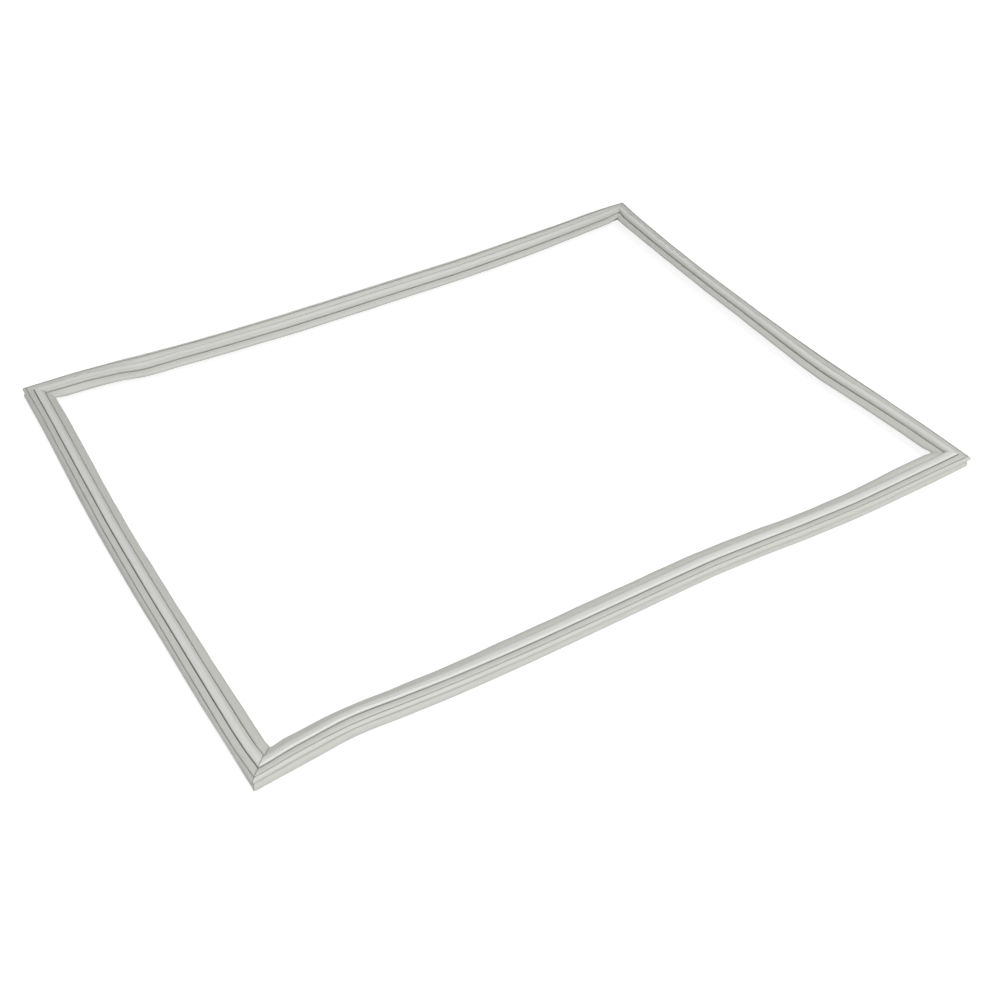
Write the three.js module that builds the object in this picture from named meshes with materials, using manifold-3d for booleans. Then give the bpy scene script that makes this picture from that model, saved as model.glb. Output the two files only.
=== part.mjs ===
// A magnetic refrigerator door gasket, lying as it would on a table.
//
// One soft extrusion is mitred and welded into a closed rectangular frame. Its section has, from the
// outside inwards, a rolled outer edge, a shoulder, a raised pocket for the magnet and a thin flap.
// Below them an air chamber with folded walls carries the base, its two cover lips and a push-in dart.
// Four flexible magnet strips lie in the pocket, one on each side, cut short of the welds.
//
// Millimetres, +Z up. X runs along the long sides, the near side has the lowest Y.
import * as THREE from 'three';
import { mergeVertices } from 'three/addons/utils/BufferGeometryUtils.js';
import Module from 'manifold-3d';

const wasm = await Module();
wasm.setup();

// Frame, measured over the rolled outer edge
const FRAME_LENGTH = 724;
const FRAME_DEPTH = 568;

// Magnet strip and its fit in the pocket
const MAGNET_WIDTH = 6.0;
const MAGNET_THICKNESS = 2.2;
const MAGNET_CLEARANCE = 0.3;

// Section widths, from the outside inwards
const EDGE_ROLL_WIDTH = 2.9;
const SHOULDER_WIDTH = 6.15;
const GROOVE_WIDTH = 0.5;
const FLAP_WIDTH = 8.3;
const BASE_WIDTH = 14.0;
const BASE_INSET = 1.2;
const CREASE_WIDTH = 1.3;
const RIDGE_SIDE_WIDTH = 2.0;

// Section heights, from the table upwards
const DART_BELOW_LIPS = 2.5;
const LIP_DROP = 2.9;
const WEB_THICKNESS = 1.1;
const CHAMBER_HEIGHT = 6.0;
const WALL = 0.8;
const EDGE_ROLL_BELOW_RIDGE = 2.0;
const SHOULDER_BELOW_RIDGE = 1.7;
const OUTER_GROOVE_DEPTH = 1.1;
const INNER_GROOVE_BELOW_RIDGE = 3.2;
const FLAP_BELOW_RIDGE = 2.2;
const FLAP_THICKNESS = 1.5;
const FLAP_ROOT_THICKENING = 0.9;
const CREASE_DEPTH = 0.3;
const RIDGE_SIDE_DROP = 1.3;
const EDGE_ROUND = 0.4;

// Folds of the chamber walls and the dart
const FOLD_HEIGHT = 1.2;
const OUTER_FOLD_DEPTH = 1.6;
const INNER_FOLD_DEPTH = 1.8;
const LIP_THICKNESS = 1.3;
const LIP_ROOT = 1.2;
const DART_STEM = 2.0;
const DART_BARB = 5.4;
const DART_TIP = 1.6;
const DART_BARB_HEIGHT = 2.2;

// How far the curved stretches of the section stand out from their chords
const ROLL_BULGE = 2.3;
const SKIRT_BULGE = 1.0;
const INNER_WALL_BULGE = 0.7;
const TOP_CROWN = 0.35;
const RIDGE_BULGE = 0.4;

// Air vents, so that the chamber and the pocket can breathe
const VENT_DIAMETER = 2.0;
const VENTS_LONG_SIDE = 3;
const VENTS_SHORT_SIDE = 2;
const VENT_FACETS = 8;

// Sampling along each side. The first straight section stands this far from the outer corner.
const CORNER_RUN = 36;
const LONG_STEPS = 16;
const SHORT_STEPS = 12;

// Levels and places that follow from the sizes above
const Z_LIP = DART_BELOW_LIPS;
const Z_WEB = Z_LIP + LIP_DROP;
const Z_CHAMBER = Z_WEB + WEB_THICKNESS;
const Z_CHAMBER_TOP = Z_CHAMBER + CHAMBER_HEIGHT;
const Z_FOLD = Z_CHAMBER + FOLD_HEIGHT;
const Z_POCKET = Z_CHAMBER_TOP + WALL;
const Z_POCKET_TOP = Z_POCKET + MAGNET_THICKNESS + 2 * MAGNET_CLEARANCE;
const Z_RIDGE = Z_POCKET_TOP + WALL;
const Z_EDGE_ROLL = Z_RIDGE - EDGE_ROLL_BELOW_RIDGE;
const Z_SHOULDER = Z_RIDGE - SHOULDER_BELOW_RIDGE;
const Z_OUTER_GROOVE = Z_SHOULDER - OUTER_GROOVE_DEPTH;
const Z_INNER_GROOVE = Z_RIDGE - INNER_GROOVE_BELOW_RIDGE;
const Z_FLAP = Z_RIDGE - FLAP_BELOW_RIDGE;
const U_CREASE = EDGE_ROLL_WIDTH;
const U_OUTER_GROOVE = U_CREASE + SHOULDER_WIDTH;
const U_POCKET = U_OUTER_GROOVE + GROOVE_WIDTH / 2 + WALL;
const U_POCKET_END = U_POCKET + MAGNET_WIDTH + 2 * MAGNET_CLEARANCE;
const U_INNER_GROOVE = U_POCKET_END + WALL + GROOVE_WIDTH / 2;
const U_TIP = U_INNER_GROOVE + FLAP_WIDTH;
const U_BASE_END = BASE_INSET + BASE_WIDTH;
const U_DART = BASE_INSET + BASE_WIDTH / 2;
const HALF_GROOVE = GROOVE_WIDTH / 2;
const HALF_CREASE = CREASE_WIDTH / 2;

// Lie of each side, read from outside corner to outside corner in the order of the frame's run.
// at: share of the side; inward: bow towards the window in mm; head: roll of the part above the
// folds; shoulder and flap: their own tilt. Angles in degrees, and positive turns the outer side up
// and the inner side down.
const CORNERS = {
  nearLeft: { head: 7, shoulder: -3, flap: 4 },
  nearRight: { head: -2, shoulder: 0, flap: 6 },
  farRight: { head: 1, shoulder: 4, flap: -3 },
  farLeft: { head: 10, shoulder: -2, flap: 14 },
};
const SIDES = [
  {
    name: 'near', length: FRAME_LENGTH, steps: LONG_STEPS, vents: VENTS_LONG_SIDE,
    from: 'nearLeft', to: 'nearRight', inwardFrom: 4, inwardTo: -0.5,
    lie: [
      { at: 0.07, inward: 8.2, head: 14, shoulder: -6, flap: 3 },
      { at: 0.12, inward: 10.6, head: 13, shoulder: -14, flap: 8 },
      { at: 0.18, inward: 8.8, head: 9, shoulder: -9, flap: 10 },
      { at: 0.25, inward: 6.6, head: 4, shoulder: -2, flap: 13 },
      { at: 0.34, inward: 5.4, head: 2, shoulder: 3, flap: 8 },
      { at: 0.45, inward: 5.6, head: 0, shoulder: 3, flap: 7 },
      { at: 0.58, inward: 6.0, head: 0, shoulder: 6, flap: 9 },
      { at: 0.66, inward: 3.6, head: 0, shoulder: 9, flap: 15 },
      { at: 0.74, inward: 0.2, head: -1, shoulder: 12, flap: 20 },
      { at: 0.83, inward: -2.2, head: 1, shoulder: 8, flap: 10 },
      { at: 0.93, inward: -1.4, head: 1, shoulder: 0, flap: -6 },
    ],
  },
  {
    name: 'right', length: FRAME_DEPTH, steps: SHORT_STEPS, vents: VENTS_SHORT_SIDE,
    from: 'nearRight', to: 'farRight', inwardFrom: -0.5, inwardTo: -1.5,
    lie: [
      { at: 0.09, inward: 1.7, head: -6, shoulder: 1, flap: 26 },
      { at: 0.20, inward: 4.9, head: 1, shoulder: -1, flap: 16 },
      { at: 0.31, inward: 8.9, head: 6, shoulder: -1, flap: 3 },
      { at: 0.43, inward: 10.4, head: -2, shoulder: 0, flap: 3 },
      { at: 0.56, inward: 9.9, head: -8, shoulder: 1, flap: 5 },
      { at: 0.70, inward: 8.9, head: -9, shoulder: 0, flap: 3 },
      { at: 0.80, inward: 6.8, head: -8, shoulder: -1, flap: -1 },
      { at: 0.91, inward: 2.4, head: -5, shoulder: 0, flap: -3 },
    ],
  },
  {
    name: 'far', length: FRAME_LENGTH, steps: LONG_STEPS, vents: VENTS_LONG_SIDE,
    from: 'farRight', to: 'farLeft', inwardFrom: 4, inwardTo: -2.5,
    lie: [
      { at: 0.07, inward: 7.4, head: 5, shoulder: 12, flap: -6 },
      { at: 0.15, inward: 11.0, head: 12, shoulder: 7, flap: -1 },
      { at: 0.22, inward: 13.6, head: 16, shoulder: 10, flap: 5 },
      { at: 0.35, inward: 17.6, head: 15, shoulder: 19, flap: 0 },
      { at: 0.48, inward: 17.9, head: 14, shoulder: 24, flap: 8 },
      { at: 0.60, inward: 17.6, head: 14, shoulder: 22, flap: 8 },
      { at: 0.70, inward: 15.2, head: 12, shoulder: 18, flap: 8 },
      { at: 0.79, inward: 11.6, head: 13, shoulder: 18, flap: 11 },
      { at: 0.84, inward: 9.2, head: 14, shoulder: 24, flap: 4 },
      { at: 0.88, inward: 3.4, head: 8, shoulder: 7, flap: 12 },
      { at: 0.93, inward: -1.4, head: 10, shoulder: -6, flap: 28 },
    ],
  },
  {
    name: 'left', length: FRAME_DEPTH, steps: SHORT_STEPS, vents: VENTS_SHORT_SIDE,
    from: 'farLeft', to: 'nearLeft', inwardFrom: -2, inwardTo: -4.5,
    lie: [
      { at: 0.10, inward: -2.9, head: 12, shoulder: 3, flap: 7 },
      { at: 0.22, inward: -4.8, head: 13, shoulder: 2, flap: 6 },
      { at: 0.33, inward: -6.4, head: 14, shoulder: -1, flap: 9 },
      { at: 0.45, inward: -7.3, head: 12, shoulder: -2, flap: 12 },
      { at: 0.56, inward: -7.2, head: 10, shoulder: -3, flap: 10 },
      { at: 0.68, inward: -6.4, head: 8, shoulder: -2, flap: 12 },
      { at: 0.80, inward: -5.7, head: 6, shoulder: -4, flap: 9 },
      { at: 0.90, inward: -5.2, head: 4, shoulder: -3, flap: 4 },
    ],
  },
];

// Section outlines, as [u, z] with u inwards from the outer edge. They run counterclockwise.

// Points of the arc from a to b with the given sagitta to the right of the run, without b itself.
function arc(a, b, sag, count) {
  const points = [];
  const side = [b[1] - a[1], a[0] - b[0]];
  const chord = Math.hypot(side[0], side[1]);
  for (let i = 0; i < count; i++) {
    const t = i / count;
    const bulge = (4 * sag * t * (1 - t)) / chord;
    points.push([a[0] + (b[0] - a[0]) * t + side[0] * bulge, a[1] + (b[1] - a[1]) * t + side[1] * bulge]);
  }
  return points;
}

// Half of the underside as [distance from the dart's middle, z], from the dart's tip to a lip's edge.
function undersideHalf() {
  const lip = BASE_WIDTH / 2 - LIP_THICKNESS;
  return [
    [DART_TIP / 2, 0],
    [DART_BARB / 2, DART_BARB_HEIGHT - EDGE_ROUND],
    [DART_BARB / 2 - EDGE_ROUND / 2, DART_BARB_HEIGHT],
    [DART_STEM / 2, DART_BARB_HEIGHT + EDGE_ROUND],
    [DART_STEM / 2, Z_WEB - EDGE_ROUND],
    [DART_STEM / 2 + EDGE_ROUND, Z_WEB],
    [lip - LIP_ROOT, Z_WEB],
    [lip - EDGE_ROUND, Z_LIP + EDGE_ROUND],
    [lip, Z_LIP],
    [lip + LIP_THICKNESS / 2, Z_LIP],
  ];
}

function outerOutline() {
  const innerHalf = undersideHalf().map(([d, z]) => [U_DART + d, z]);
  const outerHalf = undersideHalf().map(([d, z]) => [U_DART - d, z]).reverse();
  const outerFold = [BASE_INSET + OUTER_FOLD_DEPTH, Z_FOLD];
  const innerFold = [U_BASE_END - INNER_FOLD_DEPTH, Z_FOLD];
  const flapUnder = Z_FLAP - FLAP_THICKNESS;
  const flapRoot = [U_INNER_GROOVE - HALF_GROOVE, flapUnder - FLAP_ROOT_THICKENING];
  const tipLow = [U_TIP - EDGE_ROUND, flapUnder];
  const tipHigh = [U_TIP - EDGE_ROUND, Z_FLAP - EDGE_ROUND / 2];
  const flapStart = [U_INNER_GROOVE + HALF_GROOVE + EDGE_ROUND, Z_FLAP];
  const ridgeInner = [U_INNER_GROOVE - HALF_GROOVE, Z_RIDGE - RIDGE_SIDE_DROP];
  const ridgeOuter = [U_OUTER_GROOVE + HALF_GROOVE, Z_RIDGE - RIDGE_SIDE_DROP];
  const shoulderEnd = [U_OUTER_GROOVE - HALF_GROOVE - EDGE_ROUND, Z_SHOULDER - EDGE_ROUND / 2];
  const shoulderStart = [U_CREASE + HALF_CREASE, Z_SHOULDER - EDGE_ROUND];
  return [
    // dart and inner cover lip, then the folded inner wall
    ...innerHalf.slice(0, -1),
    ...arc(innerHalf.at(-1), innerFold, SKIRT_BULGE, 4),
    ...arc(innerFold, flapRoot, INNER_WALL_BULGE, 3),
    // flap: underside, tip, top
    ...arc(flapRoot, tipLow, -TOP_CROWN, 3),
    tipLow,
    [U_TIP, Z_FLAP - FLAP_THICKNESS / 2],
    ...arc(tipHigh, flapStart, TOP_CROWN, 4),
    flapStart,
    // inner groove and the magnet ridge
    [U_INNER_GROOVE + HALF_GROOVE, Z_INNER_GROOVE],
    [U_INNER_GROOVE - HALF_GROOVE, Z_INNER_GROOVE],
    ...arc(ridgeInner, [ridgeInner[0] - RIDGE_SIDE_WIDTH, Z_RIDGE], RIDGE_BULGE, 2),
    [ridgeInner[0] - RIDGE_SIDE_WIDTH, Z_RIDGE],
    ...arc([ridgeOuter[0] + RIDGE_SIDE_WIDTH, Z_RIDGE], ridgeOuter, RIDGE_BULGE, 2),
    ridgeOuter,
    [U_OUTER_GROOVE + HALF_GROOVE, Z_OUTER_GROOVE],
    // outer groove, shoulder and crease
    [U_OUTER_GROOVE - HALF_GROOVE, Z_OUTER_GROOVE],
    ...arc(shoulderEnd, shoulderStart, TOP_CROWN, 4),
    shoulderStart,
    [U_CREASE, Z_EDGE_ROLL - CREASE_DEPTH],
    // rolled edge and folded outer wall, then the outer cover lip and the dart
    ...arc([U_CREASE - HALF_CREASE, Z_EDGE_ROLL], outerFold, ROLL_BULGE, 7),
    ...arc(outerFold, outerHalf[0], SKIRT_BULGE, 4),
    ...outerHalf,
  ];
}

// The air chamber follows the folded walls one wall thickness further in.
function chamberOutline() {
  const shoulderRoof = Z_SHOULDER - WALL;
  const besidePocket = U_OUTER_GROOVE - HALF_GROOVE - WALL;
  const underPocket = U_POCKET_END - EDGE_ROUND;
  const outerFold = [BASE_INSET + OUTER_FOLD_DEPTH + WALL, Z_FOLD];
  const innerFold = [U_BASE_END - INNER_FOLD_DEPTH - WALL, Z_FOLD];
  const rollTop = [U_CREASE - HALF_CREASE, Z_EDGE_ROLL - WALL];
  return [
    [BASE_INSET + LIP_THICKNESS, Z_CHAMBER],
    [U_BASE_END - LIP_THICKNESS, Z_CHAMBER],
    innerFold,
    [underPocket, Z_CHAMBER_TOP - WALL],
    [underPocket, Z_CHAMBER_TOP],
    [U_POCKET, Z_CHAMBER_TOP],
    [besidePocket, Z_POCKET],
    [besidePocket, shoulderRoof - EDGE_ROUND],
    [besidePocket - EDGE_ROUND, shoulderRoof],
    [U_CREASE + HALF_CREASE + EDGE_ROUND, shoulderRoof - EDGE_ROUND],
    [U_CREASE, Z_EDGE_ROLL - CREASE_DEPTH - WALL],
    ...arc(rollTop, outerFold, ROLL_BULGE - WALL, 4),
    outerFold,
  ];
}

function boxOutline(u0, u1, z0, z1) {
  return [[u0, z0], [u1, z0], [u1, z1], [u0, z1]];
}

// The lie of a section: how far each of its parts turns.

const radians = THREE.MathUtils.degToRad;
const smooth = THREE.MathUtils.smoothstep;

// Turns p about centre, so that what lies outside of the centre rises.
function turn(p, centre, degrees) {
  const c = Math.cos(radians(degrees));
  const s = Math.sin(radians(degrees));
  const du = p[0] - centre[0];
  const dz = p[1] - centre[1];
  return [centre[0] + du * c + dz * s, centre[1] - du * s + dz * c];
}

function lay(p, lie) {
  const headShare = smooth(p[1], Z_CHAMBER, Z_CHAMBER_TOP);
  const shoulderShare = p[0] < U_OUTER_GROOVE ? smooth(p[1], Z_FOLD, Z_SHOULDER - 2 * WALL) : 0;
  const onFlap = p[1] > Z_CHAMBER_TOP - WALL;
  const flapShare = onFlap ? smooth(p[0], U_INNER_GROOVE, U_INNER_GROOVE + 2 * WALL) : 0;
  let q = turn(p, [U_OUTER_GROOVE, Z_OUTER_GROOVE], lie.shoulder * shoulderShare);
  q = turn(q, [U_INNER_GROOVE, Z_INNER_GROOVE], lie.flap * flapShare);
  return turn(q, [U_TIP / 2, Z_CHAMBER], lie.head * headShare);
}

// Smooth curve through the lie's values: slopes are those of the neighbours, and level at a peak.
function curveValue(knots, key, at) {
  let i = 0;
  while (i < knots.length - 2 && at > knots[i + 1].at) i += 1;
  const slope = (j) => (knots[j + 1][key] - knots[j][key]) / (knots[j + 1].at - knots[j].at);
  const tangent = (j) => {
    if (j === 0) return slope(0);
    if (j === knots.length - 1) return slope(j - 1);
    const before = slope(j - 1);
    const after = slope(j);
    return before * after <= 0 ? 0 : (2 * before * after) / (before + after);
  };
  const span = knots[i + 1].at - knots[i].at;
  const t = (at - knots[i].at) / span;
  const a = knots[i][key];
  const b = knots[i + 1][key];
  return a * (1 + 2 * t) * (1 - t) ** 2 + b * t * t * (3 - 2 * t)
    + span * (tangent(i) * t * (1 - t) ** 2 + tangent(i + 1) * t * t * (t - 1));
}

function sideKnots(side) {
  return [
    { at: 0, inward: side.inwardFrom, ...CORNERS[side.from] },
    ...side.lie,
    { at: 1, inward: side.inwardTo, ...CORNERS[side.to] },
  ];
}

function lieAt(side, at) {
  const knots = sideKnots(side);
  const lie = {};
  for (const key of ['inward', 'head', 'shoulder', 'flap']) lie[key] = curveValue(knots, key, at);
  return lie;
}

// Placing sections round the frame.

const START = {
  near: { x: 0, y: 0, along: [1, 0], inwards: [0, 1] },
  right: { x: FRAME_LENGTH, y: 0, along: [0, 1], inwards: [-1, 0] },
  far: { x: FRAME_LENGTH, y: FRAME_DEPTH, along: [-1, 0], inwards: [0, -1] },
  left: { x: 0, y: FRAME_DEPTH, along: [0, -1], inwards: [1, 0] },
};

function place(side, distance, inward, z) {
  const s = START[side.name];
  return [
    s.x + s.along[0] * distance + s.inwards[0] * inward,
    s.y + s.along[1] * distance + s.inwards[1] * inward,
    z,
  ];
}

// The mitred section at the start of a side: a point's distance from both outer edges is its u.
function mitreRing(side, before, outline) {
  return outline.map((p) => {
    const [u, z] = lay(p, CORNERS[side.from]);
    return place(side, before.inwardTo + u, side.inwardFrom + u, z);
  });
}

function straightRing(side, distance, outline) {
  const lie = lieAt(side, distance / side.length);
  return outline.map((p) => {
    const [u, z] = lay(p, lie);
    return place(side, distance, lie.inward + u, z);
  });
}

function stepDistance(side, i) {
  return CORNER_RUN + ((side.length - 2 * CORNER_RUN) * i) / side.steps;
}

function straightRings(side, outline) {
  const rings = [];
  for (let i = 0; i <= side.steps; i++) rings.push(straightRing(side, stepDistance(side, i), outline));
  return rings;
}

function frameRings(outline) {
  return SIDES.flatMap((side, k) => {
    const before = SIDES[(k + SIDES.length - 1) % SIDES.length];
    return [mitreRing(side, before, outline), ...straightRings(side, outline)];
  });
}

// Meshes and solids.

function skin(rings, closed) {
  const count = rings[0].length;
  const triangles = [];
  const bands = closed ? rings.length : rings.length - 1;
  for (let r = 0; r < bands; r++) {
    const a = r * count;
    const b = ((r + 1) % rings.length) * count;
    for (let i = 0; i < count; i++) {
      const j = (i + 1) % count;
      triangles.push(a + i, b + j, b + i, a + i, a + j, b + j);
    }
  }
  if (!closed) {
    const last = (rings.length - 1) * count;
    for (let i = 1; i < count - 1; i++) {
      triangles.push(0, i + 1, i);
      triangles.push(last, last + i, last + i + 1);
    }
  }
  return { vertices: rings.flat(2), triangles };
}

function solid({ vertices, triangles }) {
  return new wasm.Manifold(new wasm.Mesh({
    numProp: 3,
    vertProperties: new Float32Array(vertices),
    triVerts: new Uint32Array(triangles),
  }));
}

function solidOf(geometry) {
  geometry.deleteAttribute('normal');
  geometry.deleteAttribute('uv');
  const merged = mergeVertices(geometry);
  return solid({ vertices: merged.attributes.position.array, triangles: merged.index.array });
}

function geometryOf(manifold) {
  const mesh = manifold.getMesh();
  const geometry = new THREE.BufferGeometry();
  geometry.setAttribute('position', new THREE.BufferAttribute(mesh.vertProperties, 3));
  geometry.setIndex(new THREE.BufferAttribute(mesh.triVerts, 1));
  geometry.computeVertexNormals();
  return geometry;
}

// A round hole through a wall of the section, whose middle is at p before the section is laid.
function vent(side, at, p, wall) {
  const lie = lieAt(side, at);
  const [u, z] = lay(p, lie);
  const radius = VENT_DIAMETER / 2;
  const geometry = new THREE.CylinderGeometry(radius, radius, wall + 2 * WALL, VENT_FACETS);
  geometry.rotateX(Math.PI / 2);
  geometry.translate(...place(side, at * side.length, lie.inward + u, z));
  return solidOf(geometry);
}

// Chamber vents pass the base web beside the dart, pocket vents pass the pocket's floor.
function vents() {
  const web = [(U_DART + DART_STEM / 2 + U_BASE_END - LIP_THICKNESS - LIP_ROOT) / 2, (Z_WEB + Z_CHAMBER) / 2];
  const floor = [(U_POCKET + U_POCKET_END) / 2, (Z_CHAMBER_TOP + Z_POCKET) / 2];
  const tools = [];
  for (const side of SIDES) {
    for (let i = 1; i <= side.vents; i++) {
      const at = i / (side.vents + 1);
      tools.push(vent(side, at, web, WEB_THICKNESS));
      tools.push(vent(side, at, floor, WALL));
    }
  }
  return tools;
}

function gasketGeometry() {
  let body = solid(skin(frameRings(outerOutline()), true));
  body = body.subtract(solid(skin(frameRings(chamberOutline()), true)));
  const pocket = boxOutline(U_POCKET, U_POCKET_END, Z_POCKET, Z_POCKET_TOP);
  body = body.subtract(solid(skin(frameRings(pocket), true)));
  for (const tool of vents()) body = body.subtract(tool);
  return geometryOf(body);
}

// A magnet strip runs between the first and the last straight section of its side.
function magnetGeometry(side) {
  const outline = boxOutline(
    U_POCKET + MAGNET_CLEARANCE,
    U_POCKET_END - MAGNET_CLEARANCE,
    Z_POCKET + MAGNET_CLEARANCE,
    Z_POCKET_TOP - MAGNET_CLEARANCE,
  );
  return geometryOf(solid(skin(straightRings(side, outline), false)));
}

const gasketVinyl = new THREE.MeshStandardMaterial({ color: 0xbfc1bb, roughness: 0.5, metalness: 0 });
const magnetRubber = new THREE.MeshStandardMaterial({ color: 0x2e2a27, roughness: 0.75, metalness: 0 });

function piece(name, geometry, material) {
  const mesh = new THREE.Mesh(geometry, material);
  mesh.name = name;
  return mesh;
}

const frame = new THREE.Group();
frame.add(piece('gasket', gasketGeometry(), gasketVinyl));
for (const side of SIDES) {
  frame.add(piece(`magnet_strip_${side.name}`, magnetGeometry(side), magnetRubber));
}

// The origin is under the middle of the frame.
const middle = new THREE.Box3().setFromObject(frame).getCenter(new THREE.Vector3());
frame.position.set(-middle.x, -middle.y, 0);
const part = new THREE.Group();
part.add(frame);

export default part;
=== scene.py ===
"""A magnetic refrigerator door gasket, lying on a plain pale table.

The gasket's fine mesh has the part's frame, walls and mitres. Its fold is higher, its crease, ridge
and flap tip are shaped more finely, and its lie is fitted more closely and has small ripples. Its
corners are welded. The magnet strips inside follow the same lie.
"""
import math

import bpy
import numpy as np
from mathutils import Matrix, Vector

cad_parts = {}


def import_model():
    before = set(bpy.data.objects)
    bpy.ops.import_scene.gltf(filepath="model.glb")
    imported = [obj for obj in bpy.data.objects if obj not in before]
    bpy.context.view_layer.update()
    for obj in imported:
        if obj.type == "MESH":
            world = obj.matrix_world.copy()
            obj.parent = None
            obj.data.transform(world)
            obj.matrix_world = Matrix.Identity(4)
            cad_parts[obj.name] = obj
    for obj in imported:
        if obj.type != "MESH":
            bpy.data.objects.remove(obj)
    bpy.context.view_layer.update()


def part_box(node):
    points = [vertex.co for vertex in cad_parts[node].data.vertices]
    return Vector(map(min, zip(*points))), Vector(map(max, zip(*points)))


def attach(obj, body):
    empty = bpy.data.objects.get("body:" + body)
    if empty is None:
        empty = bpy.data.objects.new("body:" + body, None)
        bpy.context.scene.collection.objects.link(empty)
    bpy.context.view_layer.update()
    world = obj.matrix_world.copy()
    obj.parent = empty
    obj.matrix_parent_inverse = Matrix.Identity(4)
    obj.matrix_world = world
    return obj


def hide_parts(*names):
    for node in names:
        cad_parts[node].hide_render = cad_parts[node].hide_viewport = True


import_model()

# All sizes of the gasket are in millimetres, and meshes are scaled to metres as they are made.
MM = 0.001

# Frame, measured over the rolled outer edge
FRAME_LENGTH = 724.0
FRAME_DEPTH = 568.0

# Magnet strip and its fit in the pocket
MAGNET_WIDTH = 6.0
MAGNET_THICKNESS = 2.2
MAGNET_CLEARANCE = 0.3
MAGNET_ROUND = 0.35

# Section widths, from the outside inwards
EDGE_ROLL_WIDTH = 2.9
SHOULDER_WIDTH = 6.15
GROOVE_WIDTH = 0.5
FLAP_WIDTH = 8.3
BASE_WIDTH = 14.0
BASE_INSET = 1.2
CREASE_WIDTH = 1.0
RIDGE_SIDE_WIDTH = 2.0

# Section heights, from the table upwards
DART_BELOW_LIPS = 2.5
LIP_DROP = 2.9
WEB_THICKNESS = 1.1
CHAMBER_HEIGHT = 6.0
WALL = 0.8
EDGE_ROLL_BELOW_RIDGE = 2.0
SHOULDER_BELOW_RIDGE = 1.7
OUTER_GROOVE_DEPTH = 1.1
INNER_GROOVE_BELOW_RIDGE = 3.2
FLAP_BELOW_RIDGE = 2.2
FLAP_THICKNESS = 1.5
FLAP_ROOT_THICKENING = 0.9
CREASE_DEPTH = 0.7
RIDGE_SIDE_DROP = 1.3
RIDGE_INNER_DROP = 2.0
EDGE_ROUND = 0.4
TIP_DROP = 1.0
TIP_ROLL_WIDTH = 2.0

# Folds of the chamber walls and the dart
FOLD_HEIGHT = 3.2
OUTER_FOLD_DEPTH = 1.6
INNER_FOLD_DEPTH = 1.8
LIP_THICKNESS = 1.3
LIP_ROOT = 1.2
DART_STEM = 2.0
DART_BARB = 5.4
DART_TIP = 1.6
DART_BARB_HEIGHT = 2.2

# Radii of the outline's rounded corners
DART_ROUND = 0.2
LIP_END_ROUND = 0.3
LIP_ROOT_ROUND = 0.4
TIP_ROUND = 0.4
TIP_END_ROUND = 0.3
FLAP_ROUND = 0.6
GROOVE_ROUND = 0.2
RIDGE_FOOT_ROUND = 0.3
CREST_ROUND = 0.5
SHOULDER_END_ROUND = 0.4
SHOULDER_START_ROUND = 0.5
CREASE_ROUND = 0.3

# A rounded corner uses at most this share of the edges beside it, and has this many steps where it
# gives none of its own
CORNER_CUT = 0.45
ROUND_STEPS = 3

# Steps of the section's curved stretches
SKIRT_STEPS = 8
INNER_WALL_STEPS = 5
FLAP_UNDERSIDE_STEPS = 5
TIP_STEPS = 4
FLAP_STEPS = 7
RIDGE_SIDE_STEPS = 6
SHOULDER_STEPS = 8
ROLL_STEPS = 14
CHAMBER_ROLL_STEPS = 4

# How far the curved stretches of the section stand out from their chords
ROLL_BULGE = 2.3
SKIRT_BULGE = 1.0
INNER_WALL_BULGE = 0.7
TOP_CROWN = 0.35
RIDGE_BULGE = 0.4
RIDGE_INNER_BULGE = 0.6
TIP_BULGE = 0.15

# Air vents
VENT_DIAMETER = 2.0
VENT_FACETS = 24
VENTS_LONG_SIDE = 3
VENTS_SHORT_SIDE = 2

# Sampling along each side: how far the corners reach, their steps, and the spacing between them
CORNER_RUN = 36.0
CORNER_STEPS = 8
STEP = 4.6

# Weld of each mitre: a narrow valley between two low beads
WELD_RINGS = (0.25, 0.6, 1.1, 1.8)
WELD_VALLEY = 0.22
WELD_VALLEY_WIDTH = 0.4
WELD_BEAD = 0.1
WELD_BEAD_PLACE = 0.9
WELD_BEAD_WIDTH = 0.4

# How dark the seam of each mitre shows, at the start of the near, right, far and left side
SEAM_DARKNESS = (1.0, 0.45, 0.35, 0.35)
SEAM_WIDTH = 0.5

# Levels and places that follow from the sizes above
Z_LIP = DART_BELOW_LIPS
Z_WEB = Z_LIP + LIP_DROP
Z_CHAMBER = Z_WEB + WEB_THICKNESS
Z_CHAMBER_TOP = Z_CHAMBER + CHAMBER_HEIGHT
Z_FOLD = Z_CHAMBER + FOLD_HEIGHT
Z_POCKET = Z_CHAMBER_TOP + WALL
Z_POCKET_TOP = Z_POCKET + MAGNET_THICKNESS + 2 * MAGNET_CLEARANCE
Z_RIDGE = Z_POCKET_TOP + WALL
Z_EDGE_ROLL = Z_RIDGE - EDGE_ROLL_BELOW_RIDGE
Z_SHOULDER = Z_RIDGE - SHOULDER_BELOW_RIDGE
Z_OUTER_GROOVE = Z_SHOULDER - OUTER_GROOVE_DEPTH
Z_INNER_GROOVE = Z_RIDGE - INNER_GROOVE_BELOW_RIDGE
Z_FLAP = Z_RIDGE - FLAP_BELOW_RIDGE
U_CREASE = EDGE_ROLL_WIDTH
U_OUTER_GROOVE = U_CREASE + SHOULDER_WIDTH
U_POCKET = U_OUTER_GROOVE + GROOVE_WIDTH / 2 + WALL
U_POCKET_END = U_POCKET + MAGNET_WIDTH + 2 * MAGNET_CLEARANCE
U_INNER_GROOVE = U_POCKET_END + WALL + GROOVE_WIDTH / 2
U_TIP = U_INNER_GROOVE + FLAP_WIDTH
U_BASE_END = BASE_INSET + BASE_WIDTH
U_DART = BASE_INSET + BASE_WIDTH / 2
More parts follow.
